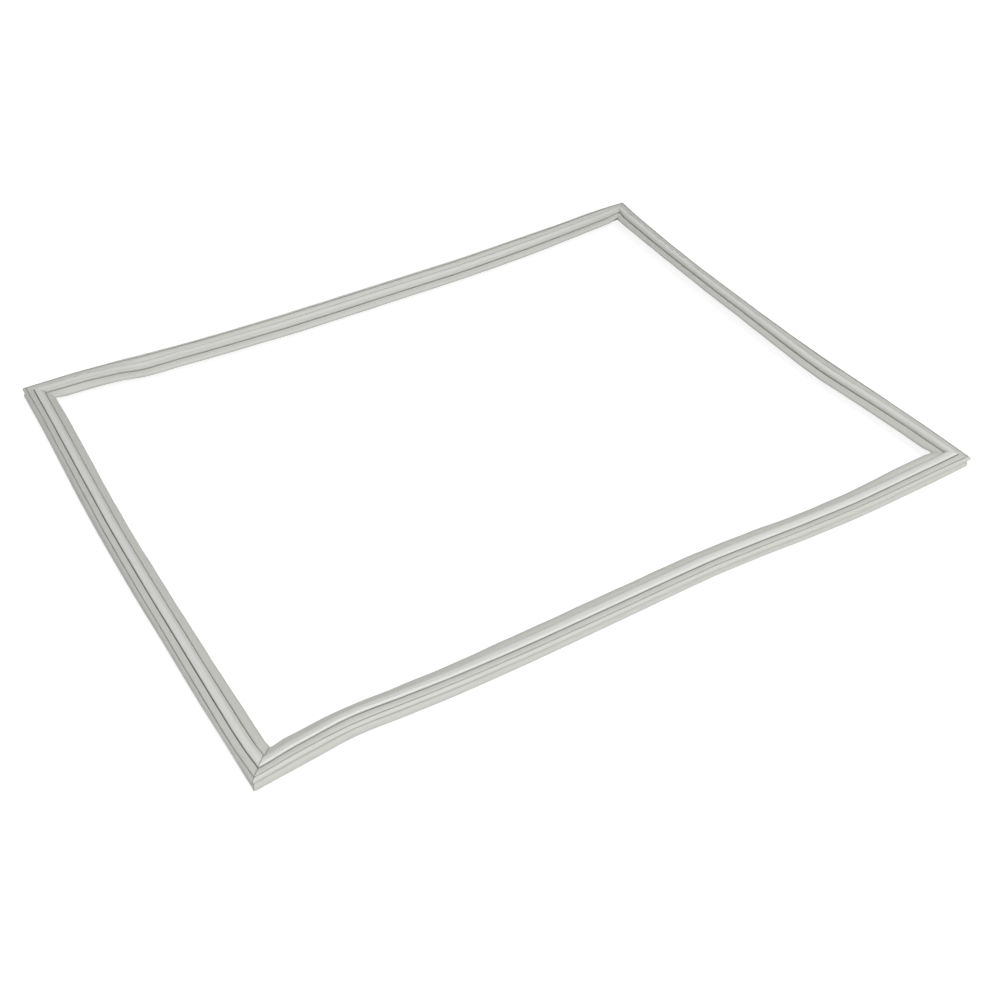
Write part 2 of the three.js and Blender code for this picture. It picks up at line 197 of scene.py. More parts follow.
HALF_GROOVE = GROOVE_WIDTH / 2
HALF_CREASE = CREASE_WIDTH / 2

# The ridge's paler band, partly a paler tone and partly painted highlight on its top, which fades
# before its inner side as painted shade where the ridge falls away
RIDGE_LIGHT_START = U_OUTER_GROOVE + 0.3
RIDGE_LIGHT_END = 13.6
RIDGE_LIGHT_FADE = 2.6
RIDGE_LIGHT_LOW = Z_RIDGE - RIDGE_SIDE_DROP - 0.1

# Dark lines of the section, which are painted shade along its grooves, crease, fold and flap rim:
# half their width and their fade in mm, and how dark they are. The grooves are fully dark.
GROOVE_LINE = 0.4
GROOVE_FADE = 0.3
CREASE_LINE = 0.2
CREASE_FADE = 0.4
CREASE_DARKNESS = 0.9
CREASE_LOW = Z_EDGE_ROLL - 1
FOLD_LINE = 0.2
FOLD_FADE = 0.5
FOLD_DARKNESS = 0.5
RIM_DARKNESS = 0.5

# Lie of each side: share of the side, bow towards the window in mm, then in degrees the roll of
# the head and the tilts of the shoulder and the flap. Positive turns the outer side up and the
# inner side down. The welds' own roll and tilts are in CORNERS.
KEYS = ("at", "inward", "head", "shoulder", "flap")
CORNERS = {
    "near_left": (7, -3, 4),
    "near_right": (-2, 0, 10),
    "far_right": (1, 4, 6),
    "far_left": (10, -2, 14),
}
NEAR_LIE = [
    (0.07, 8.3, 12, -6, 8),
    (0.12, 11.0, 11, -14, 14),
    (0.18, 8.3, 9, -9, 12),
    (0.25, 5.8, 6, -2, 9),
    (0.34, 4.9, 2, 3, 5),
    (0.45, 5.4, 0, 4, 6),
    (0.58, 6.2, -3, 7, 11),
    (0.66, 4.0, -5, 10, 17),
    (0.74, 0.1, -3, 13, 20),
    (0.83, -2.2, -1, 9, 10),
    (0.93, -1.7, 2, 0, -9),
]
RIGHT_LIE = [
    (0.09, 1.0, -1, 2, 22),
    (0.20, 4.3, 4, 2, 12),
    (0.31, 8.1, 11, 2, 4),
    (0.43, 10.0, 3, 2, 3),
    (0.56, 9.6, -2, 3, 5),
    (0.70, 7.7, -1, -5, 1),
    (0.80, 5.6, 0, -5, -2),
    (0.91, 1.9, 1, -3, 2),
]
FAR_LIE = [
    (0.07, 6.8, 11, 15, 2),
    (0.15, 9.9, 18, 10, -1),
    (0.22, 12.2, 22, 12, 4),
    (0.35, 15.8, 22, 19, 2),
    (0.48, 15.9, 20, 23, 8),
    (0.60, 15.6, 20, 22, 8),
    (0.70, 13.8, 17, 18, 9),
    (0.79, 10.3, 16, 18, 11),
    (0.84, 7.5, 20, 23, 5),
    (0.88, 2.8, 12, 9, 12),
    (0.93, -1.8, 12, -4, 30),
]
LEFT_LIE = [
    (0.10, -2.8, 9, 5, 5),
    (0.22, -4.8, 11, 3, 3),
    (0.33, -6.6, 13, 0, 6),
    (0.45, -7.4, 10, -1, 10),
    (0.56, -7.3, 9, -3, 7),
    (0.68, -6.2, 5, -1, 12),
    (0.80, -5.5, 4, -4, 7),
    (0.90, -4.1, -1, -3, 5),
]


def side(name, length, start, along, inwards, corners, inward_ends, lie, vents):
    first = (0.0, inward_ends[0]) + CORNERS[corners[0]]
    last = (1.0, inward_ends[1]) + CORNERS[corners[1]]
    knots = [dict(zip(KEYS, values)) for values in [first, *lie, last]]
    return {
        "name": name, "length": length, "start": np.array(start), "along": np.array(along),
        "inwards": np.array(inwards), "knots": knots, "vents": vents,
    }


# Each side's length, start, direction, welds, bow at both welds, lie and number of vents
SIDES = [
    side("near", FRAME_LENGTH, (0.0, 0.0), (1, 0), (0, 1),
         ("near_left", "near_right"), (4, -0.5), NEAR_LIE, VENTS_LONG_SIDE),
    side("right", FRAME_DEPTH, (FRAME_LENGTH, 0.0), (0, 1), (-1, 0),
         ("near_right", "far_right"), (-0.5, -1.5), RIGHT_LIE, VENTS_SHORT_SIDE),
    side("far", FRAME_LENGTH, (FRAME_LENGTH, FRAME_DEPTH), (-1, 0), (0, -1),
         ("far_right", "far_left"), (4, -2.5), FAR_LIE, VENTS_LONG_SIDE),
    side("left", FRAME_DEPTH, (0.0, FRAME_DEPTH), (0, -1), (1, 0),
         ("far_left", "near_left"), (-2, -3.2), LEFT_LIE, VENTS_SHORT_SIDE),
]

# Ripples: the part that turns, how far in degrees, and the wavelength in mm. A slower wave at the
# beat's share makes them swell and sink, and they fade out over a share of the side.
RIPPLES = (("flap", 1.6, 53.0), ("shoulder", 1.1, 71.0))
RIPPLE_BEAT = 0.37
RIPPLE_FADE = 0.12


# Section outlines, as points [u, z] with u inwards from the outer edge, counterclockwise.

def arc(a, b, sag, count):
    """Points of the arc from a to b, with its sagitta to the right of the run, without b."""
    a = np.array(a, float)
    b = np.array(b, float)
    side_step = np.array([b[1] - a[1], a[0] - b[0]])
    chord = np.linalg.norm(side_step)
    points = []
    for i in range(count):
        t = i / count
        points.append(tuple(a + (b - a) * t + side_step * (4 * sag * t * (1 - t) / chord)))
    return points


def rounded(points, radius, steps):
    """The corner in the middle of three points, rounded off."""
    before, corner, after = (np.array(p, float) for p in points)
    cut_in = min(radius, CORNER_CUT * np.linalg.norm(before - corner))
    cut_out = min(radius, CORNER_CUT * np.linalg.norm(after - corner))
    start = corner + (before - corner) / np.linalg.norm(before - corner) * cut_in
    end = corner + (after - corner) / np.linalg.norm(after - corner) * cut_out
    out = []
    for i in range(steps + 1):
        t = i / steps
        out.append(tuple((1 - t) ** 2 * start + 2 * t * (1 - t) * corner + t * t * end))
    return out


def smooth_outline(corners):
    """Turns a list of (u, z), (u, z, radius) or (u, z, radius, steps) into a rounded outline."""
    out = []
    count = len(corners)
    for i, p in enumerate(corners):
        if len(p) == 2:
            out.append(tuple(p))
            continue
        neighbours = [corners[i - 1][:2], p[:2], corners[(i + 1) % count][:2]]
        out += rounded(neighbours, p[2], p[3] if len(p) == 4 else ROUND_STEPS)
    return np.array(out)


def underside_half():
    """Half of the underside as [distance from the dart's middle, z, radius, steps]."""
    lip = BASE_WIDTH / 2 - LIP_THICKNESS
    return [
        (DART_TIP / 2, 0, DART_ROUND, 1),
        (DART_BARB / 2, DART_BARB_HEIGHT - EDGE_ROUND, DART_ROUND, 1),
        (DART_BARB / 2 - EDGE_ROUND / 2, DART_BARB_HEIGHT),
        (DART_STEM / 2, DART_BARB_HEIGHT + EDGE_ROUND),
        (DART_STEM / 2, Z_WEB - EDGE_ROUND),
        (DART_STEM / 2 + EDGE_ROUND, Z_WEB),
        (lip - LIP_ROOT, Z_WEB, LIP_ROOT_ROUND, 1),
        (lip - EDGE_ROUND, Z_LIP + EDGE_ROUND, LIP_END_ROUND, 1),
        (lip, Z_LIP),
        (lip + LIP_THICKNESS / 2, Z_LIP),
    ]


def outer_outline():
    """The whole skin: the underside, inner wall, flap, ridge, shoulder, rolled edge and outer wall."""
    half = underside_half()
    inner_half = [(U_DART + p[0], *p[1:]) for p in half]
    outer_half = [(U_DART - p[0], *p[1:]) for p in reversed(half)]
    outer_fold = (BASE_INSET + OUTER_FOLD_DEPTH, Z_FOLD)
    inner_fold = (U_BASE_END - INNER_FOLD_DEPTH, Z_FOLD)
    flap_under = Z_FLAP - FLAP_THICKNESS
    flap_root = (U_INNER_GROOVE - HALF_GROOVE, flap_under - FLAP_ROOT_THICKENING)
    tip_low = (U_TIP - EDGE_ROUND, flap_under)
    tip_high = (U_TIP - EDGE_ROUND, Z_FLAP - TIP_DROP)
    tip_crest = (U_TIP - EDGE_ROUND - TIP_ROLL_WIDTH, Z_FLAP)
    flap_start = (U_INNER_GROOVE + HALF_GROOVE + EDGE_ROUND, Z_FLAP)
    shoulder_end = (U_OUTER_GROOVE - HALF_GROOVE - EDGE_ROUND, Z_SHOULDER - EDGE_ROUND / 2)
    shoulder_start = (U_CREASE + HALF_CREASE, Z_SHOULDER - EDGE_ROUND)
    groove_in = U_INNER_GROOVE + HALF_GROOVE
    groove_out = U_INNER_GROOVE - HALF_GROOVE
    channel_in = U_OUTER_GROOVE + HALF_GROOVE
    channel_out = U_OUTER_GROOVE - HALF_GROOVE
    ridge_inner = (groove_out, Z_RIDGE - RIDGE_INNER_DROP)
    ridge_outer = (channel_in, Z_RIDGE - RIDGE_SIDE_DROP)
    crest_inner = (groove_out - RIDGE_SIDE_WIDTH, Z_RIDGE)
    crest_outer = (channel_in + RIDGE_SIDE_WIDTH, Z_RIDGE)
    return [
        *inner_half[:-1],
        *arc(inner_half[-1][:2], inner_fold, SKIRT_BULGE, SKIRT_STEPS),
        *arc(inner_fold, flap_root, INNER_WALL_BULGE, INNER_WALL_STEPS),
        *arc(flap_root, tip_low, -TOP_CROWN, FLAP_UNDERSIDE_STEPS),
        (*tip_low, TIP_ROUND, 2),
        (U_TIP, Z_FLAP - (TIP_DROP + FLAP_THICKNESS) / 2, TIP_END_ROUND, 2),
        (*tip_high, TIP_ROUND, 2),
        *arc(tip_high, tip_crest, TIP_BULGE, TIP_STEPS)[1:],
        (*tip_crest, FLAP_ROUND, 2),
        *arc(tip_crest, flap_start, TOP_CROWN, FLAP_STEPS)[1:],
        (*flap_start, FLAP_ROUND, 3),
        (groove_in, Z_INNER_GROOVE, GROOVE_ROUND, 2),
        (groove_out, Z_INNER_GROOVE, GROOVE_ROUND, 2),
        (*ridge_inner, RIDGE_FOOT_ROUND, 2),
        *arc(ridge_inner, crest_inner, RIDGE_INNER_BULGE, RIDGE_SIDE_STEPS)[1:],
        (*crest_inner, CREST_ROUND, 2),
        ((crest_inner[0] + crest_outer[0]) / 2, Z_RIDGE),
        (*crest_outer, CREST_ROUND, 2),
        *arc(crest_outer, ridge_outer, RIDGE_BULGE, RIDGE_SIDE_STEPS)[1:],
        (*ridge_outer, RIDGE_FOOT_ROUND, 2),
        (channel_in, Z_OUTER_GROOVE, GROOVE_ROUND, 2),
        (channel_out, Z_OUTER_GROOVE, GROOVE_ROUND, 2),
        (*shoulder_end, SHOULDER_END_ROUND, 3),
        *arc(shoulder_end, shoulder_start, TOP_CROWN, SHOULDER_STEPS)[1:],
        (*shoulder_start, SHOULDER_START_ROUND, 2),
        (U_CREASE, Z_EDGE_ROLL - CREASE_DEPTH, CREASE_ROUND, 2),
        *arc((U_CREASE - HALF_CREASE, Z_EDGE_ROLL), outer_fold, ROLL_BULGE, ROLL_STEPS),
        *arc(outer_fold, outer_half[0][:2], SKIRT_BULGE, SKIRT_STEPS),
        *outer_half,
    ]


def chamber_outline():
    """The air chamber follows the folded walls one wall thickness further in."""
    shoulder_roof = Z_SHOULDER - WALL
    beside_pocket = U_OUTER_GROOVE - HALF_GROOVE - WALL
    under_pocket = U_POCKET_END - EDGE_ROUND
    outer_fold = (BASE_INSET + OUTER_FOLD_DEPTH + WALL, Z_FOLD)
    inner_fold = (U_BASE_END - INNER_FOLD_DEPTH - WALL, Z_FOLD)
    roll_top = (U_CREASE - HALF_CREASE, Z_EDGE_ROLL - WALL)
    return [
        (BASE_INSET + LIP_THICKNESS, Z_CHAMBER),
        (U_BASE_END - LIP_THICKNESS, Z_CHAMBER),
        inner_fold,
        (under_pocket, Z_CHAMBER_TOP - WALL),
        (under_pocket, Z_CHAMBER_TOP),
        (U_POCKET, Z_CHAMBER_TOP),
        (beside_pocket, Z_POCKET),
        (beside_pocket, shoulder_roof - EDGE_ROUND),
        (beside_pocket - EDGE_ROUND, shoulder_roof),
        (U_CREASE + HALF_CREASE + EDGE_ROUND, shoulder_roof - EDGE_ROUND),
        (U_CREASE, Z_EDGE_ROLL - CREASE_DEPTH - WALL),
        *arc(roll_top, outer_fold, ROLL_BULGE - WALL, CHAMBER_ROLL_STEPS),
        outer_fold,
    ]


def box_outline(u0, u1, z0, z1, radius=0.0):
    corners = [(u0, z0), (u1, z0), (u1, z1), (u0, z1)]
    if radius:
        return [(*corner, radius, ROUND_STEPS) for corner in corners]
    return corners


# The lie of a section: how far each of its parts turns.

def smoothstep(x, low, high):
    t = np.clip((x - low) / (high - low), 0.0, 1.0)
    return t * t * (3 - 2 * t)


def turn(points, centre, degrees):
    """Turns points about centre, so that what lies outside of the centre rises."""
    angle = np.radians(degrees)
    du = points[:, 0] - centre[0]
    dz = points[:, 1] - centre[1]
    u = centre[0] + du * np.cos(angle) + dz * np.sin(angle)
    z = centre[1] - du * np.sin(angle) + dz * np.cos(angle)
    return np.stack([u, z], axis=1)


def lay(points, lie):
    """The section's points, with its shoulder, flap and head turned as the lie says."""
    u, z = points[:, 0], points[:, 1]
    head_share = smoothstep(z, Z_CHAMBER, Z_CHAMBER_TOP)
    shoulder_share = np.where(u < U_OUTER_GROOVE, smoothstep(z, Z_FOLD, Z_SHOULDER - 2 * WALL), 0.0)
    on_flap = z > Z_CHAMBER_TOP - WALL
    flap_share = np.where(on_flap, smoothstep(u, U_INNER_GROOVE, U_INNER_GROOVE + 2 * WALL), 0.0)
    laid = turn(points, (U_OUTER_GROOVE, Z_OUTER_GROOVE), lie["shoulder"] * shoulder_share)
    laid = turn(laid, (U_INNER_GROOVE, Z_INNER_GROOVE), lie["flap"] * flap_share)
    return turn(laid, (U_TIP / 2, Z_CHAMBER), lie["head"] * head_share)


def curve_value(knots, key, at):
    """Smooth curve through the lie's values, level at a peak."""
    i = 0
    while i < len(knots) - 2 and at > knots[i + 1]["at"]:
        i += 1

    def slope(j):
        return (knots[j + 1][key] - knots[j][key]) / (knots[j + 1]["at"] - knots[j]["at"])

    def tangent(j):
        if j == 0:
            return slope(0)
        if j == len(knots) - 1:
            return slope(j - 1)
        before, after = slope(j - 1), slope(j)
        return 0.0 if before * after <= 0 else 2 * before * after / (before + after)

    span = knots[i + 1]["at"] - knots[i]["at"]
    t = (at - knots[i]["at"]) / span
    a, b = knots[i][key], knots[i + 1][key]
    return (a * (1 + 2 * t) * (1 - t) ** 2 + b * t * t * (3 - 2 * t)
            + span * (tangent(i) * t * (1 - t) ** 2 + tangent(i + 1) * t * t * (t - 1)))


def lie_at(a_side, at):
    """The lie at a share of the side, with small ripples that fade out at the welds."""
    lie = {key: curve_value(a_side["knots"], key, at) for key in KEYS[1:]}
    fade = float(smoothstep(min(at, 1 - at), 0.0, RIPPLE_FADE))
    distance = at * a_side["length"]
    for key, degrees, wavelength in RIPPLES:
        phase = 2 * math.pi * distance / wavelength
        lie[key] += fade * degrees * math.sin(phase) * math.cos(RIPPLE_BEAT * phase)
    return lie


def place(a_side, distance, inward, z):
    """Points of the nominal frame, whose near left outer corner is at the origin."""
    flat = (a_side["start"][None, :] + np.outer(distance, a_side["along"])
            + np.outer(inward, a_side["inwards"]))
    return np.column_stack([flat, z])


def outward_normals(points):
    """Unit normals of a counterclockwise outline."""
    step = np.roll(points, -1, axis=0) - np.roll(points, 1, axis=0)
    normals = np.stack([step[:, 1], -step[:, 0]], axis=1)
    return normals / np.linalg.norm(normals, axis=1)[:, None]


def weld_rise(offset):
    """How far the skin stands out at this distance from the mitre."""
    valley = WELD_VALLEY * math.exp(-(offset / WELD_VALLEY_WIDTH) ** 2)
    bead = WELD_BEAD * math.exp(-((offset - WELD_BEAD_PLACE) / WELD_BEAD_WIDTH) ** 2)
    return bead - valley


def corner_ring(a_side, next_inward, outline, weld_skin, offset, share, at_end):
    """A ring between the mitre and the first or last straight section of a side.

    next_inward is the bow of the side on the mitre's other side, offset the ring's distance from
    the mitre in mm, and share how far the ring has come to the straight section.
    """
    at = share * CORNER_RUN / a_side["length"]
    lie = lie_at(a_side, 1 - at if at_end else at)
    points = outline
    if weld_skin is not None:
        points = outline + weld_skin * weld_rise(offset)
    laid = lay(points, lie)
    mitre = next_inward + laid[:, 0]
    distance = mitre + offset + (CORNER_RUN - mitre - offset) * share
    if at_end:
        distance = a_side["length"] - distance
    return place(a_side, distance, lie["inward"] + laid[:, 0], laid[:, 1])


def corner_shares():
    """Offsets and shares of the rings that lead from a mitre to the straight run."""
    welds = [(offset, 0.0) for offset in WELD_RINGS]
    fan = [(WELD_RINGS[-1], i / CORNER_STEPS) for i in range(1, CORNER_STEPS)]
    return welds + fan


def straight_ring(a_side, distance, outline):
    lie = lie_at(a_side, distance / a_side["length"])
    laid = lay(outline, lie)
    return place(a_side, np.full(len(laid), distance), lie["inward"] + laid[:, 0], laid[:, 1])


def straight_rings(a_side, outline):
    run = a_side["length"] - 2 * CORNER_RUN
    count = round(run / STEP)
    return [straight_ring(a_side, CORNER_RUN + run * i / count, outline) for i in range(count + 1)]


def side_rings(k, outline, weld_skin):
    """All rings of side k, from its first mitre up to just before the next."""
    a_side = SIDES[k]
    before = SIDES[k - 1]["knots"][-1]["inward"]
    after = SIDES[(k + 1) % len(SIDES)]["knots"][0]["inward"]
    shares = corner_shares()
    rings = [corner_ring(a_side, before, outline, weld_skin, 0.0, 0.0, False)]
    rings += [corner_ring(a_side, before, outline, weld_skin, o, s, False) for o, s in shares]
    rings += straight_rings(a_side, outline)
    rings += [corner_ring(a_side, after, outline, weld_skin, o, s, True) for o, s in reversed(shares)]
    return rings


def frame_rings(outline, welded):
    weld_skin = outward_normals(outline) if welded else None
    rings = []
    for k in range(len(SIDES)):
        rings += side_rings(k, outline, weld_skin)
    return np.array(rings)


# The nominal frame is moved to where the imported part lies: the magnets start one corner run
# from the outer corners.
SHIFT = Vector((
    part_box("magnet_strip_near")[0].x - CORNER_RUN * MM,
    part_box("magnet_strip_right")[0].y - CORNER_RUN * MM,
    0.0,
))


def skin_mesh(name, rings, closed):
    count_rings, count = rings.shape[:2]
    vertices = rings.reshape(-1, 3) * MM + np.array(SHIFT)
    bands = count_rings if closed else count_rings - 1
    faces = []
    for r in range(bands):
        a = r * count
        b = ((r + 1) % count_rings) * count
        for i in range(count):
            j = (i + 1) % count
            faces.append((a + i, a + j, b + j, b + i))
    if not closed:
        last = (count_rings - 1) * count
        faces.append(tuple(reversed(range(count))))
        faces.append(tuple(last + i for i in range(count)))
    mesh = bpy.data.meshes.new(name)
    mesh.from_pydata(vertices.tolist(), [], faces)
    mesh.update()
    piece = bpy.data.objects.new(name, mesh)
    bpy.context.scene.collection.objects.link(piece)
    return piece


def seam_values():
    """Darkness of the seam on each ring of the frame, in the order of frame_rings."""
    values = []
    for k, a_side in enumerate(SIDES):
        start = SEAM_DARKNESS[k]
        end = SEAM_DARKNESS[(k + 1) % len(SIDES)]
        fades = [math.exp(-(offset / SEAM_WIDTH) ** 2) for offset in WELD_RINGS]
        straight = round((a_side["length"] - 2 * CORNER_RUN) / STEP) + 1
        plain = [0.0] * (2 * (CORNER_STEPS - 1) + straight)
        values += [start] + [start * f for f in fades] + plain + [end * f for f in reversed(fades)]
    return values


def section_attribute(piece, name, values, count_rings):
    """Gives every ring the same values, one for each point of the section."""
    made = piece.data.attributes.new(name, "FLOAT", "POINT")
    made.data.foreach_set("value", np.tile(values, count_rings).astype(np.float32))


def ring_attribute(piece, name, values, count):
    """Gives each ring one value, for all of its count points."""
    made = piece.data.attributes.new(name, "FLOAT", "POINT")
    made.data.foreach_set("value", np.repeat(values, count).astype(np.float32))


def band(u, low, high, soft):
    """One between low and high, fading to nothing over soft."""
    return smoothstep(u, low - soft, low) * (1 - smoothstep(u, high, high + soft))


def run_along(rings):
    """Distance along the frame of each ring, from its middle."""
    middles = rings.mean(axis=1)
    steps = np.linalg.norm(np.diff(middles, axis=0), axis=1)
    return np.concatenate([[0.0], np.cumsum(steps)]) * MM


def ridge_highlight_values(u, z):
    """How much each point of the section belongs to the ridge's paler band, which is partly painted
    highlight.
    """
    pale = band(u, RIDGE_LIGHT_START, RIDGE_LIGHT_END, RIDGE_LIGHT_FADE)
    return pale * (z > RIDGE_LIGHT_LOW)


def groove_shade_values(u, z, middle, top, bottom):
    """Painted shade of the groove at middle, which grows from its top to its bottom."""
    line = band(u, middle - GROOVE_LINE, middle + GROOVE_LINE, GROOVE_FADE)
    return line * smoothstep(-z, -top, -bottom) * (z > Z_CHAMBER_TOP)


def crevice_shade_values(u, z):
    """Painted shade of each point of the section, in its grooves, crease, fold and rim."""
    outer = groove_shade_values(u, z, U_OUTER_GROOVE, Z_SHOULDER, Z_OUTER_GROOVE)
    inner = groove_shade_values(u, z, U_INNER_GROOVE, Z_FLAP, Z_INNER_GROOVE)
    crease = band(u, U_CREASE - CREASE_LINE, U_CREASE + CREASE_LINE, CREASE_FADE) * (z > CREASE_LOW)
    fold = band(z, Z_FOLD - FOLD_LINE, Z_FOLD + FOLD_LINE, FOLD_FADE) * (u < U_DART)
    rim = smoothstep(u, U_TIP - TIP_ROLL_WIDTH, U_TIP)
    edges = CREASE_DARKNESS * crease + FOLD_DARKNESS * fold + RIM_DARKNESS * rim
    return np.clip(outer + inner + edges, 0, 1)


def gasket_skin():
    outline = smooth_outline(outer_outline())
    rings = frame_rings(outline, True)
    piece = skin_mesh("gasket_skin", rings, True)
    u, z = outline[:, 0], outline[:, 1]
    section_attribute(piece, "across", (u + z) * MM, len(rings))
    # The ridge's paler band, partly painted highlight
    section_attribute(piece, "ridge", ridge_highlight_values(u, z), len(rings))
    # Painted shade in the grooves, crease, fold and flap rim
    section_attribute(piece, "crevice", crevice_shade_values(u, z), len(rings))
    ring_attribute(piece, "along", run_along(rings), len(outline))
    ring_attribute(piece, "seam", seam_values(), len(outline))
    return piece


def cut_away(piece, tool):
    """Takes tool's volume out of piece and deletes the tool."""
    cut = piece.modifiers.new("cut", "BOOLEAN")
    cut.operation = "DIFFERENCE"
    cut.solver = "MANIFOLD"
    cut.object = tool
    apply_modifiers(piece)
    bpy.data.objects.remove(tool, do_unlink=True)


def apply_modifiers(piece):
    depsgraph = bpy.context.evaluated_depsgraph_get()
    final = bpy.data.meshes.new_from_object(piece.evaluated_get(depsgraph))
    piece.modifiers.clear()
    piece.data = final


def vent_tool(a_side, at, point, wall):
    """An upright cylinder through the wall at this point of the section."""
    lie = lie_at(a_side, at)
    laid = lay(np.array([point]), lie)[0]
    centre = place(a_side, [at * a_side["length"]], [lie["inward"] + laid[0]], [laid[1]])[0]
    low = centre[2] - wall / 2 - WALL
    high = centre[2] + wall / 2 + WALL
    angles = np.linspace(0, 2 * math.pi, VENT_FACETS, endpoint=False)
    circle = centre[:2] + VENT_DIAMETER / 2 * np.stack([np.cos(angles), np.sin(angles)], axis=1)
    rings = np.array([np.column_stack([circle, np.full(VENT_FACETS, z)]) for z in (low, high)])
    return skin_mesh("vent", rings, False)


def cut_vents(piece):
    web_start = U_DART + DART_STEM / 2
    web_end = U_BASE_END - LIP_THICKNESS - LIP_ROOT
    web = ((web_start + web_end) / 2, (Z_WEB + Z_CHAMBER) / 2)
    floor = ((U_POCKET + U_POCKET_END) / 2, (Z_CHAMBER_TOP + Z_POCKET) / 2)
    for a_side in SIDES:
        for i in range(1, a_side["vents"] + 1):
            at = i / (a_side["vents"] + 1)
            cut_away(piece, vent_tool(a_side, at, web, WEB_THICKNESS))
            cut_away(piece, vent_tool(a_side, at, floor, WALL))


NORMAL_WEIGHT = 90


def finish_shading(piece):
    piece.data.shade_smooth()
    weighted = piece.modifiers.new("weighted_normals", "WEIGHTED_NORMAL")
    weighted.mode = "FACE_AREA"
    weighted.weight = NORMAL_WEIGHT


def gasket():
    piece = gasket_skin()
    chamber = frame_rings(np.array(chamber_outline()), False)
    cut_away(piece, skin_mesh("chamber", chamber, True))
    pocket = np.array(box_outline(U_POCKET, U_POCKET_END, Z_POCKET, Z_POCKET_TOP))
    cut_away(piece, skin_mesh("pocket", frame_rings(pocket, False), True))
    cut_vents(piece)
    finish_shading(piece)
    return piece


def magnet(a_side):
    outline = smooth_outline(box_outline(
        U_POCKET + MAGNET_CLEARANCE, U_POCKET_END - MAGNET_CLEARANCE,
        Z_POCKET + MAGNET_CLEARANCE, Z_POCKET_TOP - MAGNET_CLEARANCE, MAGNET_ROUND))
    piece = skin_mesh(f"magnet_{a_side['name']}", np.array(straight_rings(a_side, outline)), False)
    finish_shading(piece)
    return piece


# Materials

def node(tree, kind, **values):
    """A new node, with its named settings and its numbered or named input values."""
    made = tree.nodes.new(kind)
    for key, value in values.items():
        if hasattr(made, key):
            setattr(made, key, value)
        else:
            made.inputs[key].default_value = value
    return made


def attribute(tree, name):
    return node(tree, "ShaderNodeAttribute", attribute_name=name).outputs["Fac"]


def math_node(tree, operation, a, b):
    made = node(tree, "ShaderNodeMath", operation=operation)
    for socket, value in zip(made.inputs, (a, b)):
        if isinstance(value, (int, float)):
            socket.default_value = value
        else:
            tree.links.new(value, socket)
    return made.outputs[0]


def mix_colour(tree, factor, a, b):
    made = node(tree, "ShaderNodeMix", data_type="RGBA")
    for socket, value in zip((made.inputs[0], made.inputs[6], made.inputs[7]), (factor, a, b)):
        if isinstance(value, (int, float, tuple)):
            socket.default_value = value
        else:
            tree.links.new(value, socket)
    return made.outputs[2]


def noise(tree, vector, grade):
    """A noise texture of this scale and detail."""
    made = node(tree, "ShaderNodeTexNoise")
    made.inputs["Scale"].default_value, made.inputs["Detail"].default_value = grade
    tree.links.new(vector, made.inputs["Vector"])
    return made.outputs["Fac"]


def new_material(name):
    material = bpy.data.materials.new(name)
    material.use_nodes = True
    tree = material.node_tree
    return material, tree, tree.nodes["Principled BSDF"]


# Colours
VINYL = (0.595, 0.605, 0.575, 1)
VINYL_WARM = (0.615, 0.605, 0.57, 1)
# Colour of the ridge's paler band: partly the ridge's own tone, partly painted highlight
VINYL_RIDGE_HIGHLIGHT = (0.735, 0.74, 0.715, 1)
# Colour of the painted shade in the grooves, crease, fold and flap rim, also used for the dark weld
# seams
VINYL_SHADE_AND_SEAM = (0.19, 0.19, 0.177, 1)
MAGNET_DARK = (0.032, 0.027, 0.024, 1)
MAGNET_LIGHT = (0.05, 0.043, 0.038, 1)

# Scale and detail of each noise
MOTTLE = (9.0, 4.0)
# Noise that makes the painted shade patchy
SHADE_PATCHES = (40.0, 3.0)
SHEEN = (60.0, 3.0)
GRAIN = (1400.0, 2.0)
DIE_LINES = (1.0, 3.0)
SPECKLE = (500.0, 3.0)

# Ranges that the noises are spread over
NOISE_RANGE = (0.3, 0.7)
# How patchy the painted shade is
SHADE_PATCH_RANGE = (0.7, 1.0)
VINYL_ROUGHNESS = (0.40, 0.52)
MAGNET_ROUGHNESS = (0.68, 0.85)

# Lines of the die, as noise that is stretched this much along and across, and what share of the
# bump is the lines' and the grain's
LINES_ALONG = 3.0
LINES_ACROSS = 900.0
LINES_SHARE = 0.7
GRAIN_SHARE = 0.3

BUMP_DISTANCE = 0.0001
VINYL_BUMP = 0.25
MAGNET_BUMP = 0.3
VINYL_SPECULAR = 0.4


def noise_range(tree, value, spread):
    """The noise's middle range, spread over another."""
    made = node(tree, "ShaderNodeMapRange")
    made.inputs["From Min"].default_value = NOISE_RANGE[0]
    made.inputs["From Max"].default_value = NOISE_RANGE[1]
    made.inputs["To Min"].default_value = spread[0]
    made.inputs["To Max"].default_value = spread[1]
    tree.links.new(value, made.inputs["Value"])
    return made.outputs["Result"]


def add_bump(tree, shader, height, strength):
    bump = node(tree, "ShaderNodeBump")
    bump.inputs["Strength"].default_value = strength
    bump.inputs["Distance"].default_value = BUMP_DISTANCE
    tree.links.new(height, bump.inputs["Height"])
    tree.links.new(bump.outputs[0], shader.inputs["Normal"])


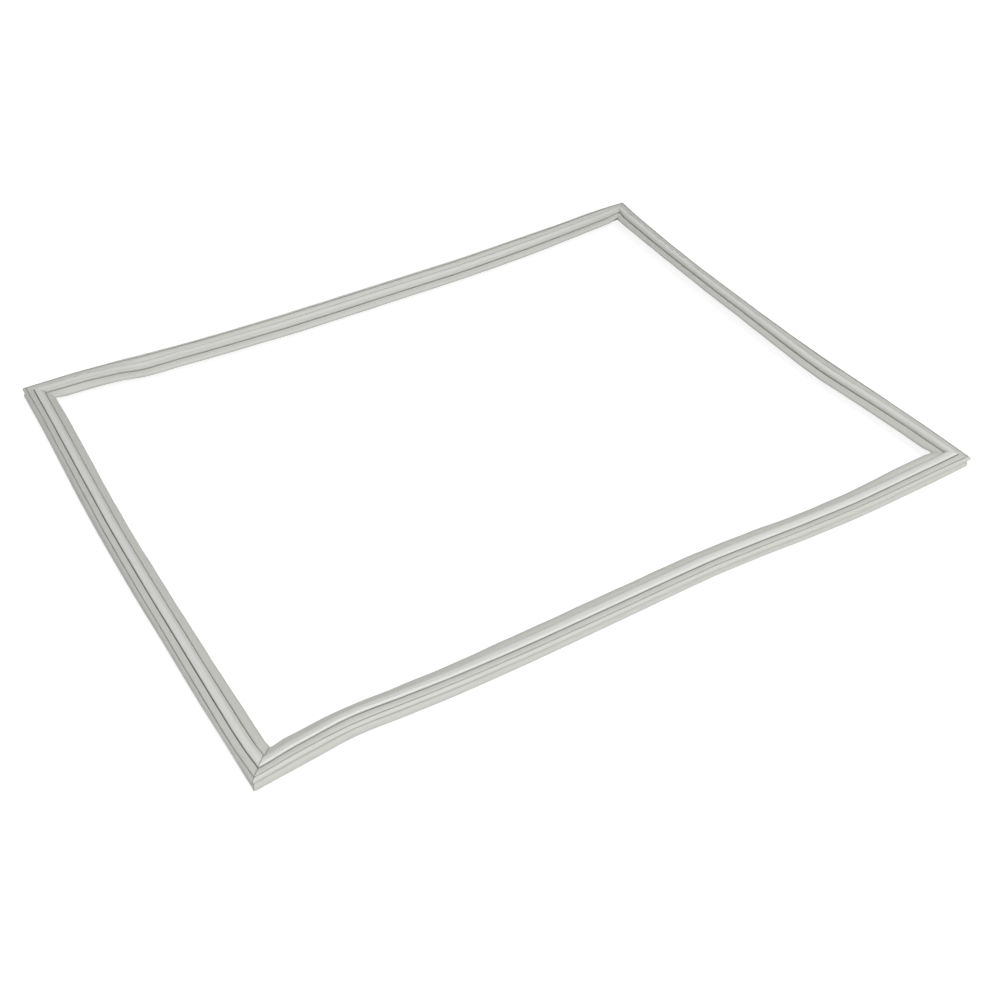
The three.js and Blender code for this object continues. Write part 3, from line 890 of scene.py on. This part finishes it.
def vinyl_material():
    material, tree, shader = new_material("gasket_vinyl")
    place_in_space = node(tree, "ShaderNodeTexCoord").outputs["Object"]
    across = attribute(tree, "across")
    along = attribute(tree, "along")
    ridge = attribute(tree, "ridge")
    # Painted shade of the grooves, crease, fold and flap rim, together with the dark weld seams
    crevice = math_node(tree, "MAXIMUM", attribute(tree, "crevice"), attribute(tree, "seam"))

    # A faint warm mottle, a paler ridge band that is partly painted highlight, and patchy painted
    # shade in the crevices
    mottle = noise(tree, place_in_space, MOTTLE)
    colour = mix_colour(tree, mottle, VINYL, VINYL_WARM)
    # Paler ridge band, partly painted highlight
    colour = mix_colour(tree, ridge, colour, VINYL_RIDGE_HIGHLIGHT)
    shade_patches = noise_range(tree, noise(tree, place_in_space, SHADE_PATCHES), SHADE_PATCH_RANGE)
    colour = mix_colour(tree, math_node(tree, "MULTIPLY", crevice, shade_patches), colour, VINYL_SHADE_AND_SEAM)
    tree.links.new(colour, shader.inputs["Base Color"])

    # The die leaves faint lines along the extrusion
    lines_vector = node(tree, "ShaderNodeCombineXYZ")
    tree.links.new(math_node(tree, "MULTIPLY", along, LINES_ALONG), lines_vector.inputs[0])
    tree.links.new(math_node(tree, "MULTIPLY", across, LINES_ACROSS), lines_vector.inputs[1])
    lines = math_node(tree, "MULTIPLY", noise(tree, lines_vector.outputs[0], DIE_LINES), LINES_SHARE)
    grain = math_node(tree, "MULTIPLY", noise(tree, place_in_space, GRAIN), GRAIN_SHARE)
    add_bump(tree, shader, math_node(tree, "ADD", lines, grain), VINYL_BUMP)

    sheen = noise_range(tree, noise(tree, place_in_space, SHEEN), VINYL_ROUGHNESS)
    tree.links.new(sheen, shader.inputs["Roughness"])
    shader.inputs["Specular IOR Level"].default_value = VINYL_SPECULAR
    return material


def magnet_material():
    material, tree, shader = new_material("magnet_rubber")
    place_in_space = node(tree, "ShaderNodeTexCoord").outputs["Object"]
    speckle = noise(tree, place_in_space, SPECKLE)
    tree.links.new(mix_colour(tree, speckle, MAGNET_DARK, MAGNET_LIGHT), shader.inputs["Base Color"])
    tree.links.new(noise_range(tree, speckle, MAGNET_ROUGHNESS), shader.inputs["Roughness"])
    add_bump(tree, shader, speckle, MAGNET_BUMP)
    return material


# Table, light and camera

FLOOR_SIZE = 12.0
FLOOR_LEVEL = -0.0002
FLOOR_DIFFUSE = 0.8
FLOOR_GLOW = 1.25
SHADOW_SHARE = 0.3


def floor():
    """A table that the camera sees as nearly white, with a part of the shadows kept."""
    bpy.ops.mesh.primitive_plane_add(size=FLOOR_SIZE, location=(0, 0, FLOOR_LEVEL))
    plane = bpy.context.object
    plane.name = "table"
    material = bpy.data.materials.new("table_white")
    material.use_nodes = True
    tree = material.node_tree
    tree.nodes.clear()
    diffuse = node(tree, "ShaderNodeBsdfDiffuse")
    diffuse.inputs["Color"].default_value = (*[FLOOR_DIFFUSE] * 3, 1)
    white = node(tree, "ShaderNodeEmission")
    white.inputs["Strength"].default_value = FLOOR_GLOW
    rays = node(tree, "ShaderNodeLightPath")
    seen = math_node(tree, "MAXIMUM", rays.outputs["Is Camera Ray"], rays.outputs["Is Glossy Ray"])
    seen = math_node(tree, "MAXIMUM", seen, rays.outputs["Is Transmission Ray"])
    mix = node(tree, "ShaderNodeMixShader")
    tree.links.new(math_node(tree, "MULTIPLY", seen, 1 - SHADOW_SHARE), mix.inputs[0])
    tree.links.new(diffuse.outputs[0], mix.inputs[1])
    tree.links.new(white.outputs[0], mix.inputs[2])
    out = node(tree, "ShaderNodeOutputMaterial")
    tree.links.new(mix.outputs[0], out.inputs["Surface"])
    plane.data.materials.append(material)


# Strength of the world's light, which the camera sees as plain white
AMBIENT = 0.33


def world():
    made = bpy.data.worlds.new("studio")
    bpy.context.scene.world = made
    made.use_nodes = True
    tree = made.node_tree
    background = tree.nodes["Background"]
    rays = node(tree, "ShaderNodeLightPath")
    camera_ray, transmission_ray = rays.outputs["Is Camera Ray"], rays.outputs["Is Transmission Ray"]
    seen = math_node(tree, "MAXIMUM", camera_ray, transmission_ray)
    strength = math_node(tree, "ADD", AMBIENT, math_node(tree, "MULTIPLY", seen, 1 - AMBIENT))
    tree.links.new(strength, background.inputs["Strength"])
    background.inputs["Color"].default_value = (1, 1, 1, 1)


# Lights: name, azimuth and elevation of their beam in degrees, distance and size in m, watts
LIGHTS = [
    ("key", 0, 55, 3.0, 1.8, 56),
    ("front", 0, 15, 3.2, 1.6, 9),
    ("right", -90, 35, 3.2, 1.6, 4),
    ("left", 90, 22, 3.2, 1.6, 6),
]


def beam(azimuth, elevation):
    """Unit vector of a view that looks down at this elevation, turned from +Y towards +X."""
    a, e = math.radians(azimuth), math.radians(elevation)
    return Vector((math.sin(a) * math.cos(e), math.cos(a) * math.cos(e), -math.sin(e)))


def softbox(name, azimuth, elevation, distance, size, watts):
    """A square light that shines at the object along its beam."""
    data = bpy.data.lights.new(name, "AREA")
    data.shape = "SQUARE"
    data.size = size
    data.energy = watts
    lamp = bpy.data.objects.new(name, data)
    towards = beam(azimuth, elevation)
    lamp.location = -towards * distance
    lamp.rotation_euler = towards.to_track_quat("-Z", "Y").to_euler()
    bpy.context.scene.collection.objects.link(lamp)


# Camera, from the outer corners of the frame in the picture
LENS = 49.57
SENSOR = 36.0
CAMERA_AZIMUTH = 31.518
CAMERA_ELEVATION = 41.142
CAMERA_DISTANCE = 1.2603
CAMERA_TARGET = (-0.03828, -0.0941, 0.002)
CAMERA_REACH = 50


def camera():
    data = bpy.data.cameras.new("camera")
    data.lens = LENS
    data.sensor_width = SENSOR
    data.sensor_fit = "HORIZONTAL"
    data.clip_end = CAMERA_REACH
    made = bpy.data.objects.new("camera", data)
    forward = beam(CAMERA_AZIMUTH, CAMERA_ELEVATION)
    middle = SHIFT + Vector((FRAME_LENGTH / 2 * MM, FRAME_DEPTH / 2 * MM, 0))
    target = middle + Vector(CAMERA_TARGET)
    made.location = target - forward * CAMERA_DISTANCE
    made.rotation_euler = forward.to_track_quat("-Z", "Y").to_euler()
    bpy.context.scene.collection.objects.link(made)
    bpy.context.scene.camera = made


def dress(piece, material, cad_node):
    """Gives the piece its material and body, and hides the part's node that it replaces."""
    piece.data.materials.clear()
    piece.data.materials.append(material)
    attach(piece, "root")
    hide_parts(cad_node)


bpy.context.scene.view_settings.view_transform = "Standard"
camera()
dress(gasket(), vinyl_material(), "gasket")
for each_side in SIDES:
    magnet_node = f"magnet_strip_{each_side['name']}"
    dress(magnet(each_side), magnet_material(), magnet_node)
floor()
world()
for light in LIGHTS:
    softbox(*light)
